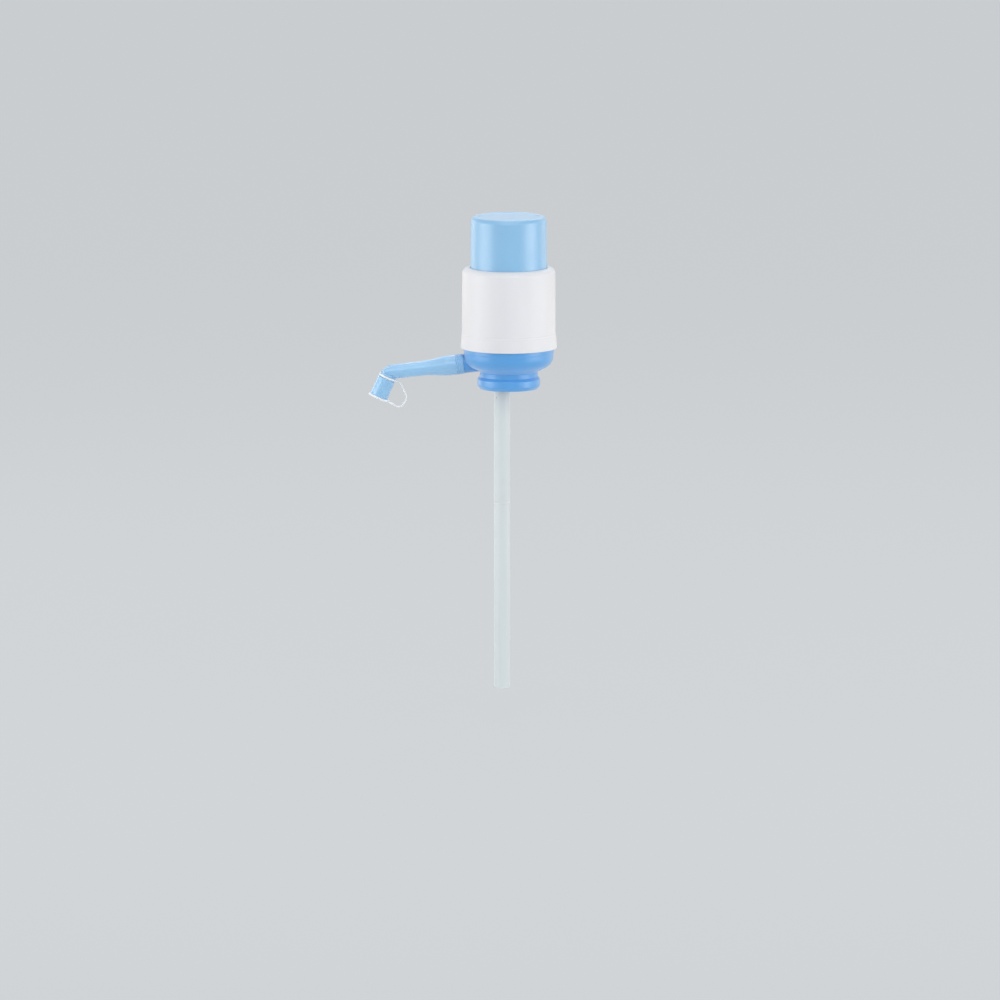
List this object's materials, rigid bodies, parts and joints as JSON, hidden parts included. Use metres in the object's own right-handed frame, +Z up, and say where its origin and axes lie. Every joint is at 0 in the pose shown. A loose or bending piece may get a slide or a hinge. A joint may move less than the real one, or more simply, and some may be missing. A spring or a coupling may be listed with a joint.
{
  "type": "water jug pump",
  "caption": "Hand-pressed air pump for a large water bottle, with a press cap, a swivelling spout with a tethered dust cap, and a dip tube.",
  "frame": {"origin": "on the axis of the bottle neck, at the height where the seal meets the neck's rim", "axes": "+Z up along the neck's axis towards the press cap, the spout points to -X"},
  "size_m": [0.1783, 0.0912, 0.4498],
  "materials": {
    "base_plastic": "glossy moulded",
    "cap_plastic": "satin moulded",
    "spout_plastic": "glossy moulded",
    "white_plastic": "satin moulded",
    "inner_plastic": "natural",
    "bellows_plastic": "blow moulded",
    "clear_tube": "translucent",
    "clear_strap": "soft translucent",
    "rubber": "silicone",
    "steel": "drawn"
  },
  "bodies": {
    "base": {"base_housing": "base_plastic", "neck_seal": "rubber", "body_sleeve": "white_plastic", "plate_gasket": "rubber", "valve_plate": "inner_plastic", "plate_screws": "steel", "delivery_valve": "rubber", "bellows": "bellows_plastic", "bellows_clamp": "inner_plastic", "return_spring": "steel", "upper_dip_tube": "clear_tube", "tube_connector": "inner_plastic", "lower_dip_tube": "clear_tube"},
    "plunger": {"press_cap": "cap_plastic", "bellows_head": "inner_plastic", "intake_valve": "rubber"},
    "spout": {"spout_tube": "spout_plastic", "spout_seal": "rubber", "cap_strap": "clear_strap"},
    "stopper": {"dust_cap": "spout_plastic"}
  },
  "joints": [
    {"name": "cap_press", "type": "slide", "parent": "base", "child": "plunger", "axis": [0, 0, -1], "range_m": [0, 0.04], "stiffness_N_per_m": 500, "springref_m": -0.012, "deforming": ["bellows", "return_spring"]},
    {"name": "spout_swivel", "type": "hinge", "parent": "base", "child": "spout", "pos_m": [-0.0426, 0, 0.0141], "axis": [-0.9938, 0, -0.1115], "continuous": true},
    {"name": "dust_cap_pull", "type": "slide", "parent": "spout", "child": "stopper", "axis": [-0.4035, 0, -0.915], "range_m": [0, 0.018], "deforming": ["cap_strap"]}
  ]
}
